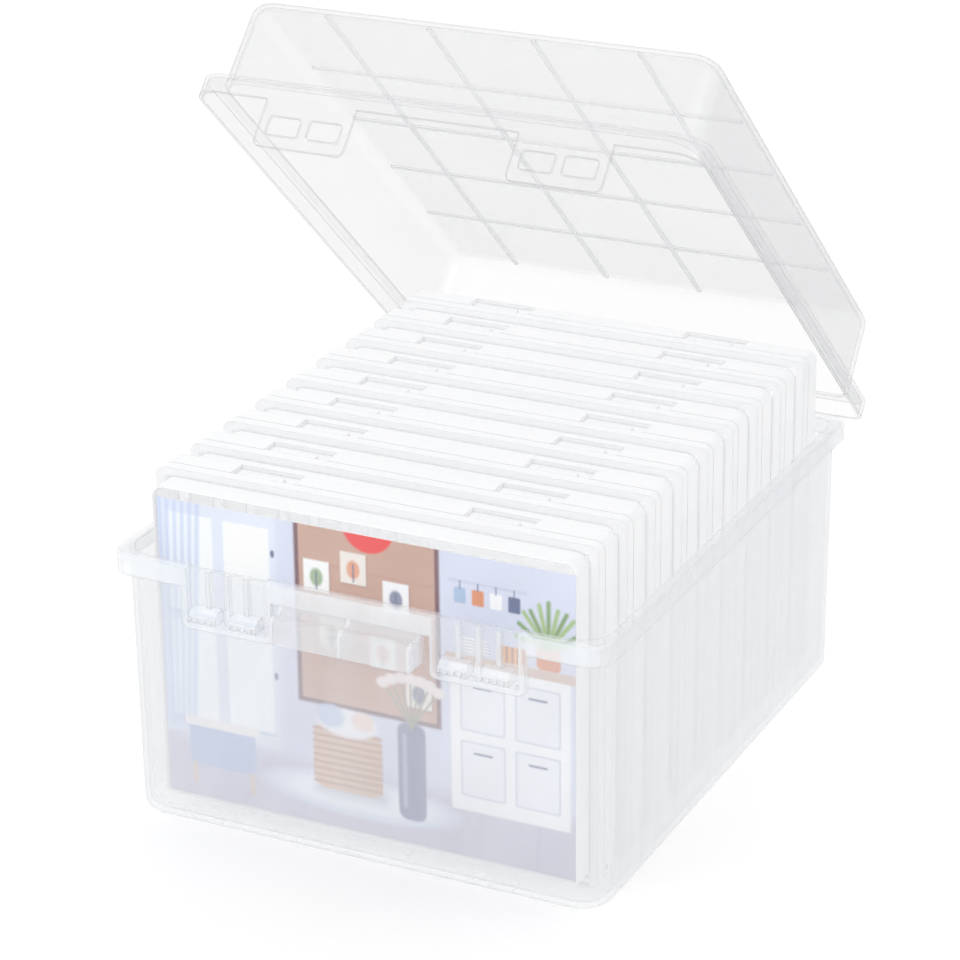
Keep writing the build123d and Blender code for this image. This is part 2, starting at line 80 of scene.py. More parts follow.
# Where the finishes change over
PANE_HALF_WIDTH = 90.4 * MM     # clear pane of a case's door
PANE_TOP = 142.0 * MM
PANE_FACING = 0.95              # how straight to the front or rear a pane looks
BIN_WALL_FRONT = 122.9 * MM     # the mouldings stand in front of this and above the next
MOULDINGS_FOOT = 88.0 * MM

# Places of the added pieces
LATCH_SPREAD = 53.6 * MM        # middle of the bin to the middle of a latch
WELL_RIB_FRONT = 124.13 * MM    # a little inside the ribs' own faces
WELL_RIB_MIDDLE = 105.95 * MM
LATTICE_UNDERSIDE = 150.33 * MM     # of the closed lid
LATTICE_SHIFT = 2.0 * MM        # the crosswise ribs lie this far to the rear
CROWN_POINTS = 9                # round a rib's crown
RIM_FACE = 125.308 * MM         # a little inside the front of the bin's rim
PULL_BEND = 107.1 * MM          # where the finger pull leaves the rim
PULL_STEPS = 10                 # points along each bend of the finger pull
WELD = 0.001 * MM               # points this near to each other are one
SHARP_ANGLE = math.radians(40)

# Print
PAPER_IOR = 1.5
PAPER_GRAIN_SCALE = 1800.0      # per metre
PAPER_GRAIN, PAPER_GRAIN_DEPTH = 0.1, 0.02 * MM
PAPER_BACK = (0.86, 0.86, 0.87, 1.0)
SPECK_LOW, SPECK_RANGE = 0.98, 0.04     # light and dark of the paper's grain
PALER = 1.25                    # fading of the print's inks
BRIGHTEST_INK = 0.97

# Studio
KEY_PLACE, KEY_SIZE = (-1.6, -1.9, 2.4), 1.8
GLINT_PLACE, GLINT_SIZE = (1.54, -0.26, 0.93), 1.1
LAMP_AIM = (0, 0, 0.12)
FLOOR_GAP = 0.1 * MM            # between the floor and the object's underside
FLOOR_GREY, FLOOR_GLOW = 0.9, 0.11
SKY_BRIGHT_SIDE = (-0.45, -0.55, 0.70)
SKY_UNEVEN = 0.06               # how much brighter the sky is on that side

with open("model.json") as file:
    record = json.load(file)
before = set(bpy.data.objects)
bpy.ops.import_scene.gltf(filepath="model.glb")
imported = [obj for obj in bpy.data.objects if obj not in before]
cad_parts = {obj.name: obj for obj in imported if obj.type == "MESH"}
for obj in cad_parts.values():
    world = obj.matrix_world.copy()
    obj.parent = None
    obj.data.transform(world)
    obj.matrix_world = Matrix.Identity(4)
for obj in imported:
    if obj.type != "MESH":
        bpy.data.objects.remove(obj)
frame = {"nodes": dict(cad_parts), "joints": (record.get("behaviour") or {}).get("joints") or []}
CAD_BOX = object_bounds()
CASE_COUNT = sum(1 for name in frame["nodes"] if name.endswith("_tray"))


# ---------------------------------------------------------------- node helpers

class Graph:
    """Short calls for building a node tree."""

    def __init__(self, tree):
        self.tree = tree

    def add(self, kind, values=None, **settings):
        node = self.tree.nodes.new(kind)
        for name, value in settings.items():
            setattr(node, name, value)
        for socket, value in (values or {}).items():
            self.put(node.inputs[socket], value)
        return node

    def put(self, socket, value):
        if isinstance(value, bpy.types.NodeSocket):
            self.tree.links.new(value, socket)
        else:
            socket.default_value = value

    def math(self, operation, a, b=0.0, clamp=False):
        node = self.add("ShaderNodeMath", {0: a, 1: b}, operation=operation, use_clamp=clamp)
        return node.outputs[0]

    def mix(self, share, a, b):
        """Blend of two colours. The colour sockets of the Mix node are its numbers 6, 7 and 2."""
        node = self.add("ShaderNodeMix", data_type="RGBA")
        self.put(node.inputs[0], share)
        self.put(node.inputs[6], a)
        self.put(node.inputs[7], b)
        return node.outputs[2]


def new_material(name):
    material = bpy.data.materials.new(name)
    material.use_nodes = True
    material.node_tree.nodes.clear()
    return material, Graph(material.node_tree)


def seen_by_eye(g):
    """1 for what the camera sees, straight on, in a gloss or through glass, and 0 for light on its way to a
    surface."""
    path = g.add("ShaderNodeLightPath")
    seen = g.math("MAXIMUM", path.outputs["Is Camera Ray"], path.outputs["Is Glossy Ray"])
    return g.math("MAXIMUM", seen, path.outputs["Is Transmission Ray"])


def clear_plastic(name, tint, haze, painted_edge_light_shade, edge_haze, edge_width, roughness, cloud, grain,
                  pane_haze=None, upright=1.0, nook_haze=0.0, thick=None, graze_shade=0.5):
    """See-through moulded plastic: a thin haze over what lies behind, denser along its edges, that lets light
    through. A pane haze is for the faces to the front and rear, where the mould is polished. The cloudy flow
    marks are drawn out upwards where upright is above 1. Nooks and slots are shaded where nook_haze is set.
    Thick is a function that marks where the plastic is thicker and so whiter, and graze_shade is how much
    painted shade a face takes when it is seen along itself."""
    material, g = new_material(name)
    place = g.add("ShaderNodeTexCoord").outputs["Object"]
    drawn = g.add("ShaderNodeMapping", {"Vector": place, "Scale": (1.0, 1.0, 1.0 / upright)}).outputs[0]
    flow = g.add("ShaderNodeTexNoise", {
        "Vector": drawn, "Scale": FLOW_SCALE * upright ** 0.5, "Detail": 3.0}).outputs["Fac"]
    fine = g.add("ShaderNodeTexNoise", {"Vector": place, "Scale": FINE_SCALE, "Detail": 2.0}).outputs["Fac"]
    rounded = g.add("ShaderNodeBevel", {"Radius": edge_width}, samples=MASK_SAMPLES).outputs["Normal"]
    flat = g.add("ShaderNodeNewGeometry").outputs["Normal"]
    turn = g.add("ShaderNodeVectorMath", {0: rounded, 1: flat}, operation="DOT_PRODUCT").outputs["Value"]
    edge = g.math("MULTIPLY", g.math("SUBTRACT", 1.0, turn), EDGE_GAIN, clamp=True)
    graze = g.math("POWER", g.add("ShaderNodeLayerWeight", {"Blend": 0.5}).outputs["Facing"], GRAZE_POWER)
    pane = 0.0
    if pane_haze is not None:
        pane = door_panes(g, place, flat)
        haze = g.math("ADD", haze, g.math("MULTIPLY", pane, pane_haze - haze))
    body = g.math("ADD", haze, g.math("MULTIPLY", g.math("SUBTRACT", flow, 0.5), cloud))
    body = g.math("ADD", body, g.math("MULTIPLY", graze, GRAZE_HAZE))
    alpha = g.math("ADD", body, g.math("MULTIPLY", edge, edge_haze), clamp=True)
    relief = g.add("ShaderNodeBump", {
        "Strength": grain, "Distance": GRAIN_DEPTH, "Height": fine, "Normal": rounded}).outputs["Normal"]
    colour = g.mix(flow, (*[c * FLOW_DARKER for c in tint], 1.0), (*tint, 1.0))
    # Painted shade where a face is seen along itself.
    colour = g.mix(g.math("MULTIPLY", graze, graze_shade), colour, (*GRAZE_SHADE, 1.0))
    # Painted light along the rounded edges: a painted highlight on the bin, painted shade on the lid and the
    # cases.
    colour = g.mix(edge, colour, (*painted_edge_light_shade, 1.0))
    if nook_haze:
        around = g.add("ShaderNodeAmbientOcclusion", {"Distance": NOOK_REACH}, samples=MASK_SAMPLES)
        open_air = around.outputs["AO"]
        nook = g.math("MULTIPLY", g.math("SUBTRACT", 1.0, open_air), g.math("SUBTRACT", 1.0, pane))
        alpha = g.math("ADD", alpha, g.math("MULTIPLY", nook, nook_haze), clamp=True)
        # Painted shade in nooks and slots, darker where a point is closed in by nearby faces.
        colour = g.mix(nook, colour, (*NOOK_SHADE, 1.0))
    if thick is not None:
        mark = thick(g, place)
        alpha = g.math("ADD", alpha, g.math("MULTIPLY", mark, THICK_HAZE), clamp=True)
        colour = g.mix(mark, colour, (*THICK_TINT, 1.0))
    shader = g.add("ShaderNodeBsdfPrincipled", {
        "Base Color": colour, "Roughness": roughness, "IOR": PLASTIC_IOR, "Alpha": alpha, "Normal": relief})
    gap = g.add("ShaderNodeBsdfTransparent")
    veil = g.add("ShaderNodeBsdfDiffuse", {"Color": (*tint, 1.0)})
    for_light = g.add("ShaderNodeMixShader", {0: LIGHT_HAZE, 1: gap.outputs[0], 2: veil.outputs[0]})
    both = g.add("ShaderNodeMixShader", {0: seen_by_eye(g), 1: for_light.outputs[0], 2: shader.outputs[0]})
    g.add("ShaderNodeOutputMaterial", {"Surface": both.outputs[0]})
    return material


def door_panes(g, place, flat):
    """1 on the faces to the front and rear that lie within a case's door, and 0 elsewhere."""
    axis = g.add("ShaderNodeSeparateXYZ", {"Vector": place})
    facing = g.add("ShaderNodeSeparateXYZ", {"Vector": flat}).outputs["Y"]
    pane = g.math("GREATER_THAN", g.math("ABSOLUTE", facing), PANE_FACING)
    within = g.math("LESS_THAN", g.math("ABSOLUTE", axis.outputs["X"]), PANE_HALF_WIDTH)
    below = g.math("LESS_THAN", axis.outputs["Z"], PANE_TOP)
    return g.math("MULTIPLY", pane, g.math("MULTIPLY", within, below))


def front_mouldings(g, place):
    """1 on the rim, pull and latch parts that stand in front of the bin's wall, and 0 elsewhere."""
    axis = g.add("ShaderNodeSeparateXYZ", {"Vector": place})
    before = g.math("LESS_THAN", axis.outputs["Y"], -BIN_WALL_FRONT)
    above = g.math("GREATER_THAN", axis.outputs["Z"], MOULDINGS_FOOT)
    return g.math("MULTIPLY", above, before)


# ---------------------------------------------------------------- picture
# A made-up still life: a window, a pin board and a low dresser, in soft focus. U runs to the right
# and V upwards over the sheet, both in millimetres from its lower left corner.

def box_distance(u, v, left, right, low, high, corner=0.0):
    du = np.abs(u - (left + right) / 2) - (right - left) / 2 + corner
    dv = np.abs(v - (low + high) / 2) - (high - low) / 2 + corner
    outside = np.hypot(np.maximum(du, 0), np.maximum(dv, 0))
    return outside + np.minimum(np.maximum(du, dv), 0) - corner


def oval_distance(u, v, u0, v0, half_u, half_v):
    reach = np.hypot((u - u0) / half_u, (v - v0) / half_v)
    return (reach - 1) * min(half_u, half_v)


def stroke_distance(u, v, u0, v0, u1, v1, half_width):
    along = np.clip(((u - u0) * (u1 - u0) + (v - v0) * (v1 - v0)) / ((u1 - u0) ** 2 + (v1 - v0) ** 2), 0, 1)
    return np.hypot(u - u0 - along * (u1 - u0), v - v0 - along * (v1 - v0)) - half_width


class Painting:
    """Colours of a sheet, laid on shape by shape with soft edges."""

    def __init__(self, u, v, ground):
        self.u, self.v = u, v
        self.ink = np.ones((*u.shape, 3)) * ground

    def lay(self, distance, colour, soft=0.5, strength=1.0):
        cover = np.clip(0.5 - distance / (2 * soft), 0, 1)[..., None] * strength
        self.ink = self.ink * (1 - cover) + np.array(colour) * cover

    def box(self, left, right, low, high, colour, corner=0.0, **how):
        self.lay(box_distance(self.u, self.v, left, right, low, high, corner), colour, **how)

    def oval(self, u0, v0, half_u, half_v, colour, **how):
        self.lay(oval_distance(self.u, self.v, u0, v0, half_u, half_v), colour, **how)

    def stroke(self, u0, v0, u1, v1, half_width, colour, **how):
        self.lay(stroke_distance(self.u, self.v, u0, v0, u1, v1, half_width), colour, **how)


def paint_picture(u, v):
    WHITE, LILAC, SLATE = (0.86, 0.88, 0.92), (0.60, 0.64, 0.80), (0.10, 0.13, 0.24)
    TAN, CLAY, CREAM, LEAF = (0.50, 0.31, 0.25), (0.66, 0.24, 0.12), (0.76, 0.70, 0.66), (0.20, 0.32, 0.14)
    BLUE = (0.34, 0.46, 0.66)
    p = Painting(u, v, LILAC)
    p.box(-5, 200, -5, 26, (0.50, 0.50, 0.62), soft=3)                 # floor
    for seam in range(9):
        p.stroke(seam * 26 - 20, -2, seam * 23 + 2, 26, 0.25, (0.36, 0.36, 0.48), strength=0.6)
    p.box(-5, 52, 28, 140, (0.66, 0.71, 0.84), soft=1)                 # window
    for pane in range(2):
        for row in range(2):
            p.box(4 + 25 * pane, 24 + 25 * pane, 34 + 46 * row, 76 + 46 * row, (0.84, 0.89, 0.96), soft=0.4)
            p.stroke(4 + 25 * pane, 34 + 46 * row, 24 + 25 * pane, 34 + 46 * row, 0.5, BLUE, strength=0.8)
    for fold in range(6):
        p.stroke(1 + fold * 3.4, 128, fold * 2.5, 30, 1.0, (0.44, 0.52, 0.76), soft=0.9, strength=0.75)
    for knob in range(2):
        p.oval(50.5, 60 + 52 * knob, 0.9, 1.6, SLATE, soft=0.3)
    p.box(60, 122, 52, 140, (0.16, 0.08, 0.10), soft=0.5)              # pin board and its frame
    p.box(62, 120, 54, 140, TAN, soft=0.4)
    for row in range(5):
        p.stroke(62, 60 + 13 * row, 120, 59 + 13 * row, 0.3, (0.40, 0.23, 0.19), soft=0.5, strength=0.6)
    for pin, (u0, v0) in enumerate(((69, 107), (85, 113), (103, 104), (75, 84), (97, 80), (112, 66))):
        p.box(u0 - 4.6, u0 + 6.6, v0 - 7.6, v0 + 5.6, (0.30, 0.18, 0.16), soft=0.6, strength=0.7)
        p.box(u0 - 5, u0 + 6, v0 - 7, v0 + 6, CREAM if pin % 2 else WHITE, soft=0.3)
        p.oval(u0 + 0.5, v0 - 1, 2.8, 3.8, (LEAF, CLAY, SLATE)[pin % 3], soft=0.5, strength=0.85)
        p.stroke(u0 + 0.5, v0 - 6, u0 + 0.5, v0 + 1, 0.3, SLATE, soft=0.3)
    half_round = np.maximum(oval_distance(u, v, 92, 131, 11, 11), 120 - v)
    p.lay(half_round, (0.74, 0.05, 0.05), soft=0.4)                    # red lamp
    p.stroke(92, 131, 92, 140, 0.4, SLATE)
    p.box(126, 176, 20, 84, WHITE, corner=1, soft=0.4)                 # dresser
    p.box(124, 178, 82, 86, (0.60, 0.45, 0.40), soft=0.3)
    for column in range(2):
        for shelf in range(2):
            left, low = 130 + 23 * column, 26 + 28 * shelf
            p.box(left, left + 19, low, low + 24, (0.54, 0.58, 0.70), corner=1, soft=0.3)
            p.box(left + 0.8, left + 18.2, low + 0.8, low + 23.2, (0.78, 0.81, 0.88), corner=1, soft=0.3)
            p.stroke(left + 6, low + 19, left + 13, low + 19, 0.5, SLATE, soft=0.3)
    for plate in range(5):                                              # plates and a striped cloth
        p.oval(136, 87.4 + 1.3 * plate, 7, 0.9, WHITE, soft=0.2)
        p.stroke(129, 87.0 + 1.3 * plate, 143, 87.0 + 1.3 * plate, 0.15, SLATE, soft=0.3, strength=0.7)
    p.box(146, 158, 86, 93, (0.78, 0.36, 0.14), corner=2, soft=0.3)
    for stripe in range(5):
        p.stroke(147.5 + 2.3 * stripe, 86.5, 147.5 + 2.3 * stripe, 92.5, 0.4, (0.22, 0.08, 0.06), soft=0.3)
    p.box(162, 172, 86, 96, CLAY, corner=2, soft=0.4)                  # potted plant
    for leaf in range(11):
        lean = (leaf - 5) * 0.30
        tip = (167 + 13 * math.sin(lean), 97 + 15 * math.cos(lean) + leaf % 3)
        p.stroke(167, 95, *tip, 0.9, LEAF if leaf % 2 else (0.32, 0.46, 0.20), soft=0.5)
    p.stroke(126, 116, 158, 116, 0.6, (0.52, 0.56, 0.70), soft=0.3)      # rail with mugs
    for mug in range(4):
        left = 128 + 7.5 * mug
        p.box(left, left + 5, 107, 113.5, (BLUE, CLAY, WHITE, SLATE)[mug], corner=0.8, soft=0.3)
        p.stroke(left + 2.5, 113, left + 2.5, 116, 0.25, SLATE, soft=0.3)
    p.oval(86, 15, 42, 9, (0.62, 0.67, 0.82), soft=1)                  # rug
    p.oval(86, 15, 33, 6.3, (0.76, 0.80, 0.90), soft=0.8)
    p.box(67, 98, 14, 19, (0.34, 0.34, 0.46), soft=2.5, strength=0.6)
    p.box(66, 96, 16, 44, (0.62, 0.42, 0.32), corner=5, soft=0.5)      # basket
    for weave in range(9):
        for side in range(2):
            p.stroke(66, 18.5 + weave * 2.9, 96, 18.5 + weave * 2.9 + side, 0.3, (0.42, 0.26, 0.20), soft=0.3)
    p.oval(81, 46, 13, 6, (0.82, 0.84, 0.92), soft=0.8)
    p.oval(74, 48, 6, 5, (0.50, 0.58, 0.80), soft=0.8)
    p.oval(88, 48, 5, 4, (0.80, 0.62, 0.58), soft=0.8)
    p.box(10, 40, 14, 33, (0.38, 0.46, 0.66), corner=3, soft=0.5)      # low blue bench
    p.box(8, 42, 31, 35, (0.78, 0.76, 0.78), corner=1.5, soft=0.4)
    for leg in range(2):
        p.stroke(12 + 26 * leg, 14, 12 + 26 * leg, 6, 1.0, (0.60, 0.48, 0.42), soft=0.4)
    p.box(103, 115, 10, 52, (0.16, 0.18, 0.30), corner=4, soft=0.5)    # tall dark vase
    p.stroke(106, 16, 106, 46, 0.7, (0.46, 0.50, 0.64), soft=0.8, strength=0.7)
    for stem in range(7):
        lean = (stem - 3) * 0.24
        tip = (109 + 18 * math.sin(lean), 56 + 15 * math.cos(lean))
        p.stroke(109, 50, *tip, 0.4, (0.26, 0.30, 0.24), soft=0.3)
        p.oval(*tip, 2.6, 2.3, (0.84, 0.74, 0.76), soft=0.6)
    shade = 0.93 + 0.12 * (v / v.max()) + 0.03 * np.sin(u / 31 + v / 17) + 0.02 * np.sin(u / 7 - v / 11)
    pale = 1 - (1 - p.ink) ** PALER
    return np.clip(pale * shade[..., None], 0, BRIGHTEST_INK)


def print_paper():
    material, g = new_material("photo_paper")
    ink = g.add("ShaderNodeAttribute", attribute_name="ink").outputs["Color"]
    place = g.add("ShaderNodeTexCoord").outputs["Object"]
    speck = g.add("ShaderNodeTexNoise", {
        "Vector": place, "Scale": PAPER_GRAIN_SCALE, "Detail": 2.0}).outputs["Fac"]
    grain = g.math("ADD", SPECK_LOW, g.math("MULTIPLY", speck, SPECK_RANGE))
    colour = g.add("ShaderNodeVectorMath", {0: ink, "Scale": grain}, operation="SCALE").outputs["Vector"]
    relief = g.add("ShaderNodeBump", {
        "Strength": PAPER_GRAIN, "Distance": PAPER_GRAIN_DEPTH, "Height": speck}).outputs["Normal"]
    shader = g.add("ShaderNodeBsdfPrincipled", {
        "Base Color": colour, "Roughness": 0.35, "IOR": PAPER_IOR, "Normal": relief})
    g.add("ShaderNodeOutputMaterial", {"Surface": shader.outputs[0]})
    return material


def make_print(step):
    """The sheet in the front case: a fine grid to the front that carries the ink, and a plain back."""
    low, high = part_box("photo_print")
    columns, rows = (round((high[i] - low[i]) / step) + 1 for i in (0, 2))
    x, z = np.meshgrid(np.linspace(low.x, high.x, columns), np.linspace(low.z, high.z, rows))
    front = np.stack([x, np.full_like(x, low.y), z], -1).reshape(-1, 3)
    index = np.arange(rows * columns).reshape(rows, columns)
    border = np.concatenate([index[0, :-1], index[:-1, -1], index[-1, :0:-1], index[:0:-1, 0]])
    back = front[border] + (0, high.y - low.y, 0)
    faces = np.stack([index[:-1, :-1], index[:-1, 1:], index[1:, 1:], index[1:, :-1]], -1).reshape(-1, 4)
    count, first = len(border), rows * columns
    sides = [(border[i - 1], first + (i - 1) % count, first + i, border[i]) for i in range(count)]
    rear = [tuple(first + i for i in reversed(range(count)))]
    mesh = bpy.data.meshes.new("photo_print_front")
    mesh.from_pydata(
        np.concatenate([front, back]).tolist(), [],
        [tuple(map(int, f)) for f in faces.tolist() + sides + rear])
    ink = np.full((first + count, 4), PAPER_BACK)
    ink[:first, :3] = paint_picture((x - low.x) / MM, (z - low.z) / MM).reshape(-1, 3)
    layer = mesh.attributes.new("ink", "FLOAT_COLOR", "POINT")
    layer.data.foreach_set("color", ink.astype(np.float32).ravel())
    sheet = bpy.data.objects.new("photo_print_front", mesh)
    bpy.context.scene.collection.objects.link(sheet)
    mesh.materials.append(print_paper())
    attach(sheet, "case_1")
    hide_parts("photo_print")


# ---------------------------------------------------------------- rounded crowns of the moulded ribs

def crown_tree():
    """A row of half-round bars that lie along Y, one beside the other along X, flat side down."""
    tree = bpy.data.node_groups.new("rib_crowns", "GeometryNodeTree")
    tree.interface.new_socket(name="Geometry", in_out="INPUT", socket_type="NodeSocketGeometry")
    for name, kind in (("Count", "Int"), ("Pitch", "Float"), ("Length", "Float"), ("Width", "Float"),
                       ("Height", "Float"), ("Material", "Material")):
        tree.interface.new_socket(name=name, in_out="INPUT", socket_type="NodeSocket" + kind)
    tree.interface.new_socket(name="Geometry", in_out="OUTPUT", socket_type="NodeSocketGeometry")
    g = Graph(tree)
    size = g.add("NodeGroupInput").outputs
    gaps = g.math("SUBTRACT", size["Count"], 1.0)
    half_row = g.math("MULTIPLY", gaps, g.math("MULTIPLY", size["Pitch"], -0.5))
    half_length = g.math("MULTIPLY", size["Length"], 0.5)
    radius = g.math("MULTIPLY", size["Width"], 0.5)
    row = g.add("GeometryNodeMeshLine", {
        "Count": size["Count"],
        "Start Location": g.add("ShaderNodeCombineXYZ", {"X": half_row}).outputs[0],
        "Offset": g.add("ShaderNodeCombineXYZ", {"X": size["Pitch"]}).outputs[0]})
    spine = g.add("GeometryNodeCurvePrimitiveLine", {
        "Start": g.add("ShaderNodeCombineXYZ", {"Y": g.math("MULTIPLY", half_length, -1.0)}).outputs[0],
        "End": g.add("ShaderNodeCombineXYZ", {"Y": half_length}).outputs[0]})
    round_half = g.add("GeometryNodeCurveArc", {
        "Resolution": CROWN_POINTS, "Radius": radius, "Start Angle": math.pi, "Sweep Angle": math.pi,
        "Connect Center": True})
    bar = g.add("GeometryNodeCurveToMesh", {
        "Curve": spine.outputs[0], "Profile Curve": round_half.outputs[0], "Fill Caps": True})
    flatten = g.add("ShaderNodeCombineXYZ", {
        "X": 1.0, "Y": 1.0, "Z": g.math("DIVIDE", size["Height"], radius)})
    bar = g.add("GeometryNodeTransform", {"Geometry": bar.outputs[0], "Scale": flatten.outputs[0]})
    bars = g.add("GeometryNodeInstanceOnPoints", {"Points": row.outputs[0], "Instance": bar.outputs[0]})
    real = g.add("GeometryNodeRealizeInstances", {"Geometry": bars.outputs[0]})
    done = g.add("GeometryNodeSetMaterial", {"Geometry": real.outputs[0], "Material": size["Material"]})
    g.add("NodeGroupOutput", {"Geometry": done.outputs[0]})
    return tree


def crown_row(tree, material, place, **sizes):
    """Plain mesh of one row of crowns, moved to its place."""
    row = bpy.data.objects.new("crown_row", bpy.data.meshes.new("crown_row"))
    bpy.context.scene.collection.objects.link(row)
    modifier = row.modifiers.new("crowns", "NODES")
    modifier.node_group = tree
    inputs = {item.name: item.identifier for item in tree.interface.items_tree if item.in_out == "INPUT"}
    for name, value in sizes.items():
        modifier[inputs[name.capitalize()]] = value
    modifier[inputs["Material"]] = material
    shaped = row.evaluated_get(bpy.context.evaluated_depsgraph_get())
    mesh = bpy.data.meshes.new_from_object(shaped)
    mesh.transform(place)
    bpy.data.objects.remove(row)
    return mesh


def joined_piece(name, meshes, body, slot):
    """One object of several meshes, riding on a body."""
    work = bmesh.new()
    for mesh in meshes:
        work.from_mesh(mesh)
        bpy.data.meshes.remove(mesh)
    bmesh.ops.remove_doubles(work, verts=work.verts, dist=WELD)
    bmesh.ops.recalc_face_normals(work, faces=work.faces)
    for face in work.faces:
        face.material_index = 0
        face.smooth = True
    joined = bpy.data.meshes.new(name)
    work.to_mesh(joined)
    work.free()
    joined.set_sharp_from_angle(angle=SHARP_ANGLE)
    joined.materials.append(bpy.data.materials[slot])
    piece = bpy.data.objects.new(name, joined)
    bpy.context.scene.collection.objects.link(piece)
    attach(piece, body)


# ---------------------------------------------------------------- panel of the finger pull

def pull_profile(reach, shoulder, drop, wall):
    """Outline of the finger pull's panel, outwards and down from where it leaves the rim: two arcs that are
    upright at both ends, then straight down."""
    radius = (reach ** 2 + shoulder ** 2) / (4 * reach)
    sweep = math.acos(1 - reach / (2 * radius))
    turns = [sweep * step / PULL_STEPS for step in range(PULL_STEPS + 1)]
    outer, inner = [
        [(radius - r1 * math.cos(a), r1 * math.sin(a)) for a in turns]
        + [(reach - radius + r2 * math.cos(a), shoulder - r2 * math.sin(a)) for a in reversed(turns[:-1])]
        for r1, r2 in ((radius, radius), (radius + wall, radius - wall))]
    return outer + [(reach, drop), (reach - wall, drop)] + inner[::-1]


def pull_panel(width, profile):
    """The panel as a solid bar of that outline, lying across the bin's front."""
    work = bmesh.new()
    ends = [[work.verts.new((x, -RIM_FACE - out, PULL_BEND - down)) for out, down in profile]
            for x in (-width / 2, width / 2)]
    for end in ends:
        work.faces.new(end)
    for here in range(len(profile)):
        after = (here + 1) % len(profile)
        work.faces.new((ends[0][here], ends[0][after], ends[1][after], ends[1][here]))
    mesh = bpy.data.meshes.new("pull_panel")
    work.to_mesh(mesh)
    work.free()
    return mesh


# ---------------------------------------------------------------- frame helpers

def lid_turn():
    """Turns a thing drawn in the closed lid to where the open lid stands."""
    hinge = next(joint for joint in frame["joints"] if joint["name"] == "lid_hinge")
    pin = Matrix.Translation(Vector(hinge["pos_m"]))
    opened = Matrix.Rotation(math.radians(hinge["range_deg"][0]), 4, "X")
    return pin @ opened @ pin.inverted()


def finish_node(name, material):
    node = frame["nodes"][name]
    node.data.materials.clear()
    node.data.materials.append(material)


# ---------------------------------------------------------------- settings

class PlasticSettings(bpy.types.PropertyGroup):
    bin_tint: FloatVectorProperty(
        name="Bin tint", description="Colour of the bin's haze", subtype="COLOR",
        size=3, min=0, max=1, default=(0.83, 0.845, 0.875))
    lid_tint: FloatVectorProperty(
        name="Lid tint", description="Colour of the lid's haze", subtype="COLOR",
        size=3, min=0, max=1, default=(0.80, 0.80, 0.815))
    case_tint: FloatVectorProperty(
        name="Case tint", description="Colour of the cases' haze", subtype="COLOR",
        size=3, min=0, max=1, default=(0.96, 0.965, 0.975))
    # Painted highlight along the bin's rounded edges.
    bin_painted_edge_highlight: FloatVectorProperty(
        name="Bright edge", description="Colour where an edge gathers light", subtype="COLOR",
        size=3, min=0, max=1, default=(0.97, 0.975, 0.98))
    # Painted shade along the lid's edges and outlines.
    lid_painted_edge_shade: FloatVectorProperty(
        name="Dark edge", description="Colour of the lid's edges", subtype="COLOR",
        size=3, min=0, max=1, default=(0.50, 0.505, 0.52))
    # Painted shade along the cases' edges, also where their parts meet.
    case_painted_edge_shade: FloatVectorProperty(
        name="Case edge", description="Colour of the cases' edges", subtype="COLOR",
        size=3, min=0, max=1, default=(0.80, 0.81, 0.83))
    bin_haze: FloatProperty(name="Bin haze", description="How much one face of the bin hides",
                            min=0, max=1, subtype="FACTOR", default=0.22)
    lid_haze: FloatProperty(name="Lid haze", description="How much one face of the lid hides",
                            min=0, max=1, subtype="FACTOR", default=0.165)
    case_haze: FloatProperty(name="Case haze", description="How much one face of a case hides",
                             min=0, max=1, subtype="FACTOR", default=0.80)
    pane_haze: FloatProperty(name="Pane haze", description="How much a polished front or rear face hides",
                             min=0, max=1, subtype="FACTOR", default=0.035)
    edge_width: FloatProperty(name="Edge width", description="Rounding of the moulded edges",
                              min=0, unit="LENGTH", default=0.8 * MM)


class PictureSettings(bpy.types.PropertyGroup):
    step: FloatProperty(name="Step", description="Side of one cell of the picture's grid", unit="LENGTH",
                        min=0.3 * MM, default=0.45 * MM)


class RibSettings(bpy.types.PropertyGroup):
    lattice_count: IntProperty(name="Lattice ribs", description="Ribs each way under the lid", min=1,
                               default=4)
    along_pitch: FloatProperty(name="Along pitch", description="Between the ribs from front to rear",
                               unit="LENGTH", default=44.5 * MM)
    across_pitch: FloatProperty(name="Across pitch", description="Between the ribs from side to side",
                                unit="LENGTH", default=45.4 * MM)
    along_length: FloatProperty(name="Along length", description="Length of the ribs from front to rear",
                                unit="LENGTH", default=229.0 * MM)
    across_length: FloatProperty(name="Across length", description="Length of the ribs from side to side",
                                 unit="LENGTH", default=186.0 * MM)
    lattice_width: FloatProperty(name="Lattice width", description="Width of a rib under the lid",
                                 unit="LENGTH", default=1.6 * MM)
    well_count: IntProperty(name="Well ribs", description="Upright ribs in each latch well", min=1, default=3)
    well_pitch: FloatProperty(name="Well pitch", description="Between the ribs of a latch well",
                              unit="LENGTH", default=8.4 * MM)
    well_length: FloatProperty(name="Well length", description="Free length of a rib of a latch well",
                               unit="LENGTH", default=14.7 * MM)
    well_width: FloatProperty(name="Well width", description="Width of a rib of a latch well",
                              unit="LENGTH", default=2.2 * MM)
    crown: FloatProperty(name="Crown", description="Height of the rounded crown on a rib",
                         unit="LENGTH", default=0.35 * MM)


class PullSettings(bpy.types.PropertyGroup):
    width: FloatProperty(name="Width", description="Width of the finger pull", unit="LENGTH",
                         default=59.9 * MM)
    reach: FloatProperty(name="Reach", description="How far it stands in front of the rim", unit="LENGTH",
                         default=8.4 * MM)
    shoulder: FloatProperty(name="Shoulder", description="Height of its bend", unit="LENGTH",
                            default=6.0 * MM)
    drop: FloatProperty(name="Drop", description="From the start of its bend to its lower edge",
                        unit="LENGTH", default=13.5 * MM)
    wall: FloatProperty(name="Wall", description="Thickness of its panel", unit="LENGTH", default=1.6 * MM)


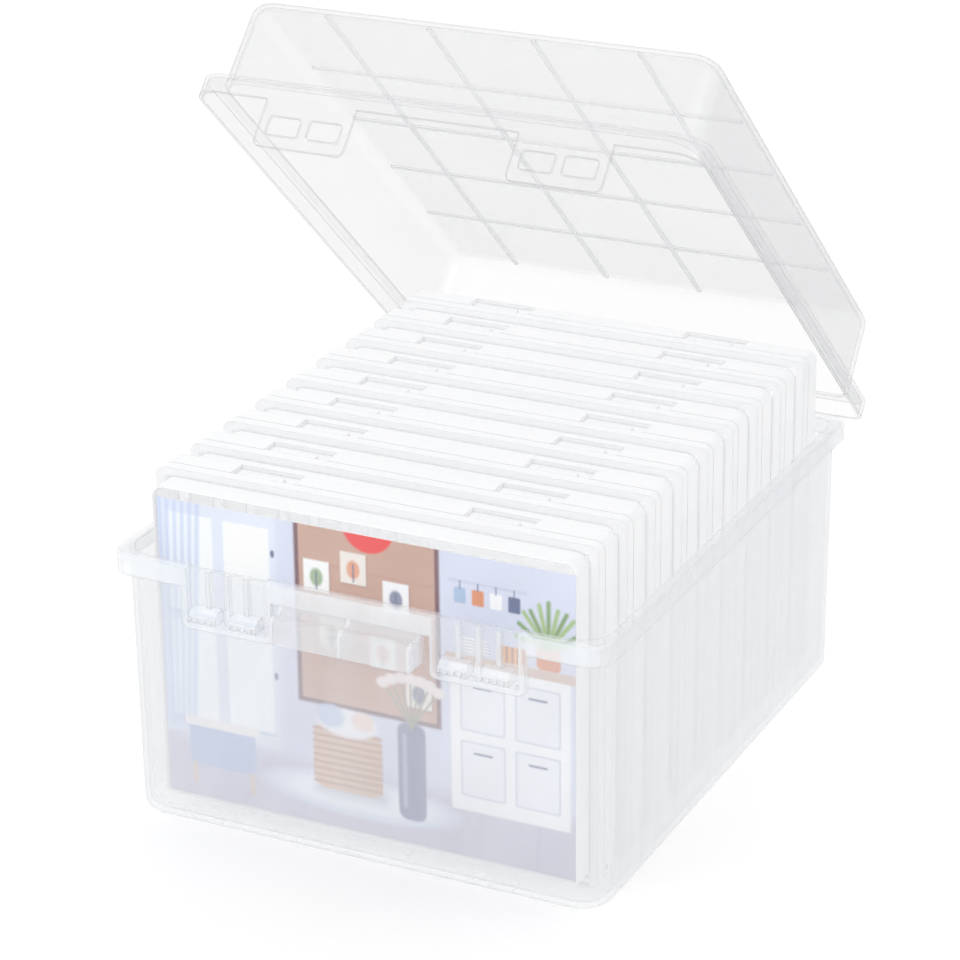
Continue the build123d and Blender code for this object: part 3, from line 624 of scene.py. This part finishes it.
class StudioSettings(bpy.types.PropertyGroup):
    sky: FloatProperty(name="Sky", description="Strength of the even light", min=0, default=0.97)
    key: FloatProperty(name="Key", description="Power of the large lamp in watts", min=0, default=10.0)
    glint: FloatProperty(name="Glint", description="Power of the lamp meant for reflections, in watts",
                         min=0, default=35.0)
    floor_size: FloatProperty(name="Floor size", description="Side of the floor", unit="LENGTH", default=12.0)


# ---------------------------------------------------------------- operators

class CASE_OT_bin(bpy.types.Operator):
    """Give the bin its clear, slightly blue plastic"""
    bl_idname = "picture_case.bin"
    bl_label = "Finish the bin"

    def execute(self, context):
        s = context.scene.case_plastic
        finish_node("bin", clear_plastic(
            "bin_plastic", s.bin_tint, s.bin_haze, s.bin_painted_edge_highlight, edge_haze=0.6, edge_width=s.edge_width,
            roughness=0.32, cloud=0.20, grain=0.10, upright=16.0, thick=front_mouldings, graze_shade=0.3))
        return {"FINISHED"}


class CASE_OT_lid(bpy.types.Operator):
    """Give the lid its clear, finely frosted plastic"""
    bl_idname = "picture_case.lid"
    bl_label = "Finish the lid"

    def execute(self, context):
        s = context.scene.case_plastic
        finish_node("lid", clear_plastic(
            "lid_plastic", s.lid_tint, s.lid_haze, s.lid_painted_edge_shade, edge_haze=0.6, edge_width=s.edge_width,
            roughness=0.38, cloud=0.10, grain=0.15, graze_shade=1.0))
        return {"FINISHED"}


class CASE_OT_pull(bpy.types.Operator):
    """Put the panel of the finger pull in front of its webs"""
    bl_idname = "picture_case.pull"
    bl_label = "Build the finger pull"

    def execute(self, context):
        s = context.scene.case_pull
        profile = pull_profile(s.reach, s.shoulder, s.drop, s.wall)
        joined_piece("pull_panel", [pull_panel(s.width, profile)], "bin", "bin_plastic")
        return {"FINISHED"}


class CASE_OT_ribs(bpy.types.Operator):
    """Round off the ribs under the lid and in the bin's latch wells"""
    bl_idname = "picture_case.ribs"
    bl_label = "Round the ribs"

    def execute(self, context):
        s = context.scene.case_ribs
        tree = crown_tree()
        lid_plastic, bin_plastic = bpy.data.materials["lid_plastic"], bpy.data.materials["bin_plastic"]
        to_underside = Matrix.Translation((0, 0, LATTICE_UNDERSIDE))
        under_lid = lid_turn() @ to_underside @ Matrix.Rotation(math.pi, 4, "Y")
        shift = Matrix.Translation((0, LATTICE_SHIFT, 0)) @ Matrix.Rotation(math.pi / 2, 4, "Z")
        lattice = [
            crown_row(tree, lid_plastic, under_lid, count=s.lattice_count, pitch=s.along_pitch,
                      length=s.along_length, width=s.lattice_width, height=s.crown),
            crown_row(tree, lid_plastic, under_lid @ shift, count=s.lattice_count, pitch=s.across_pitch,
                      length=s.across_length, width=s.lattice_width, height=s.crown)]
        joined_piece("lid_rib_crowns", lattice, "lid", "lid_plastic")
        upright = Matrix.Rotation(math.pi / 2, 4, "X")
        wells = [
            crown_row(tree, bin_plastic,
                      Matrix.Translation((side * LATCH_SPREAD, -WELL_RIB_FRONT, WELL_RIB_MIDDLE)) @ upright,
                      count=s.well_count, pitch=s.well_pitch, length=s.well_length, width=s.well_width,
                      height=s.crown)
            for side in (-1, 1)]
        joined_piece("well_rib_crowns", wells, "bin", "bin_plastic")
        return {"FINISHED"}


class CASE_OT_cases(bpy.types.Operator):
    """Give every case its clear, glossy plastic"""
    bl_idname = "picture_case.cases"
    bl_label = "Finish the cases"

    def execute(self, context):
        s = context.scene.case_plastic
        plastic = clear_plastic(
            "case_plastic", s.case_tint, s.case_haze, s.case_painted_edge_shade, edge_haze=0.4, edge_width=s.edge_width / 2,
            roughness=0.22, cloud=0.05, grain=0.08, pane_haze=s.pane_haze, nook_haze=0.15, graze_shade=0.1)
        for number in range(1, CASE_COUNT + 1):
            for half in ("tray", "cover"):
                finish_node(f"case_{number}_{half}", plastic)
        return {"FINISHED"}


class CASE_OT_picture(bpy.types.Operator):
    """Put the printed picture in the front case"""
    bl_idname = "picture_case.picture"
    bl_label = "Print the picture"

    def execute(self, context):
        make_print(context.scene.case_picture.step)
        return {"FINISHED"}


class CASE_OT_stage(bpy.types.Operator):
    """Set up the floor, the even light, the two lamps and the camera"""
    bl_idname = "picture_case.stage"
    bl_label = "Set the stage"

    def execute(self, context):
        s = context.scene.case_studio
        make_floor(s.floor_size)
        make_sky(s.sky)
        make_lamp("key_lamp", KEY_PLACE, KEY_SIZE, s.key)
        glint = make_lamp("glint_lamp", GLINT_PLACE, GLINT_SIZE, s.glint)
        glint.visible_diffuse = False
        glint.visible_transmission = False
        make_camera()
        return {"FINISHED"}


def make_floor(side):
    half = side / 2
    z = CAD_BOX[0].z - FLOOR_GAP
    mesh = bpy.data.meshes.new("floor")
    corners = [(-half, -half, z), (half, -half, z), (half, half, z), (-half, half, z)]
    mesh.from_pydata(corners, [], [(0, 1, 2, 3)])
    floor = bpy.data.objects.new("floor", mesh)
    bpy.context.scene.collection.objects.link(floor)
    material, g = new_material("studio_floor")
    seen = seen_by_eye(g)
    matt = g.add("ShaderNodeBsdfDiffuse", {"Color": (FLOOR_GREY, FLOOR_GREY, FLOOR_GREY, 1.0)})
    glow = g.add("ShaderNodeEmission", {"Color": (1.0, 1.0, 1.0, 1.0), "Strength": FLOOR_GLOW})
    both = g.add("ShaderNodeAddShader", {0: matt.outputs[0], 1: glow.outputs[0]})
    pick = g.add("ShaderNodeMixShader", {0: seen, 1: matt.outputs[0], 2: both.outputs[0]})
    g.add("ShaderNodeOutputMaterial", {"Surface": pick.outputs[0]})
    mesh.materials.append(material)


def make_sky(strength):
    world = bpy.data.worlds.new("studio_sky")
    world.use_nodes = True
    world.node_tree.nodes.clear()
    g = Graph(world.node_tree)
    toward = g.add("ShaderNodeTexCoord").outputs["Generated"]
    bright_side = Vector(SKY_BRIGHT_SIDE).normalized()
    lean = g.add("ShaderNodeVectorMath", {0: toward, 1: bright_side}, operation="DOT_PRODUCT")
    side = lean.outputs["Value"]
    light = g.math("MULTIPLY", g.math("ADD", g.math("MULTIPLY", side, SKY_UNEVEN), 1.0), strength)
    seen = seen_by_eye(g)
    level = g.math("ADD", seen, g.math("MULTIPLY", g.math("SUBTRACT", 1.0, seen), light))
    sky = g.add("ShaderNodeBackground", {"Color": (1.0, 1.0, 1.0, 1.0), "Strength": level})
    g.add("ShaderNodeOutputWorld", {"Surface": sky.outputs[0]})
    bpy.context.scene.world = world


def make_lamp(name, place, size, power):
    light = bpy.data.lights.new(name, "AREA")
    light.energy = power
    light.size = size
    lamp = bpy.data.objects.new(name, light)
    bpy.context.scene.collection.objects.link(lamp)
    lamp.location = place
    aim = Vector(LAMP_AIM) - Vector(place)
    lamp.rotation_euler = aim.to_track_quat("-Z", "Y").to_euler()
    return lamp


def make_camera():
    """Camera to the right of the front and above it, with a long lens."""
    azimuth, elevation, roll = (math.radians(a) for a in (26.281, 22.867, -0.649))
    distance, focal_pixels = 1389.74 * MM, 3425.11
    aim_right, aim_up = -5.454 * MM, 115.325 * MM
    back = Vector((
        math.sin(azimuth) * math.cos(elevation), -math.cos(azimuth) * math.cos(elevation),
        math.sin(elevation)))
    level = Vector((math.cos(azimuth), math.sin(azimuth), 0))
    upright = back.cross(level)
    right = math.cos(roll) * level + math.sin(roll) * upright
    up = -math.sin(roll) * level + math.cos(roll) * upright
    place = aim_right * level + Vector((0, 0, aim_up)) + back * distance
    data = bpy.data.cameras.new("camera")
    data.sensor_width = 36.0
    data.lens = data.sensor_width * focal_pixels / IMAGE_SIDE
    camera = bpy.data.objects.new("camera", data)
    bpy.context.scene.collection.objects.link(camera)
    turn = Matrix((right, up, back)).transposed().to_4x4()
    camera.matrix_world = Matrix.Translation(place) @ turn
    bpy.context.scene.camera = camera


class CASE_PT_sidebar(bpy.types.Panel):
    """Lists the steps and their settings"""
    bl_idname = "CASE_PT_sidebar"
    bl_label = "Picture Case"
    bl_space_type = "VIEW_3D"
    bl_region_type = "UI"
    bl_category = "Picture Case"

    def draw(self, context):
        layout = self.layout
        scene = context.scene
        for group in (scene.case_plastic, scene.case_pull, scene.case_ribs, scene.case_picture,
                      scene.case_studio):
            for name in group.__annotations__:
                layout.prop(group, name)
        for step in STEPS:
            layout.operator(step.bl_idname)


STEPS = (
    CASE_OT_stage, CASE_OT_bin, CASE_OT_lid, CASE_OT_pull, CASE_OT_ribs, CASE_OT_cases, CASE_OT_picture)
CLASSES = (
    PlasticSettings, PullSettings, RibSettings, PictureSettings, StudioSettings, *STEPS, CASE_PT_sidebar)


def register():
    for item in CLASSES:
        bpy.utils.register_class(item)
    bpy.types.Scene.case_plastic = PointerProperty(type=PlasticSettings)
    bpy.types.Scene.case_pull = PointerProperty(type=PullSettings)
    bpy.types.Scene.case_ribs = PointerProperty(type=RibSettings)
    bpy.types.Scene.case_picture = PointerProperty(type=PictureSettings)
    bpy.types.Scene.case_studio = PointerProperty(type=StudioSettings)


def unregister():
    del bpy.types.Scene.case_studio
    del bpy.types.Scene.case_picture
    del bpy.types.Scene.case_ribs
    del bpy.types.Scene.case_pull
    del bpy.types.Scene.case_plastic
    for item in reversed(CLASSES):
        bpy.utils.unregister_class(item)


def main():
    register()
    scene = bpy.context.scene
    scene.view_settings.view_transform = "Standard"
    scene.cycles.transparent_max_bounces = CLEAR_LAYERS
    bpy.ops.picture_case.stage()
    bpy.ops.picture_case.bin()
    bpy.ops.picture_case.lid()
    bpy.ops.picture_case.pull()
    bpy.ops.picture_case.ribs()
    bpy.ops.picture_case.cases()
    bpy.ops.picture_case.picture()


if __name__ == "__main__":
    main()
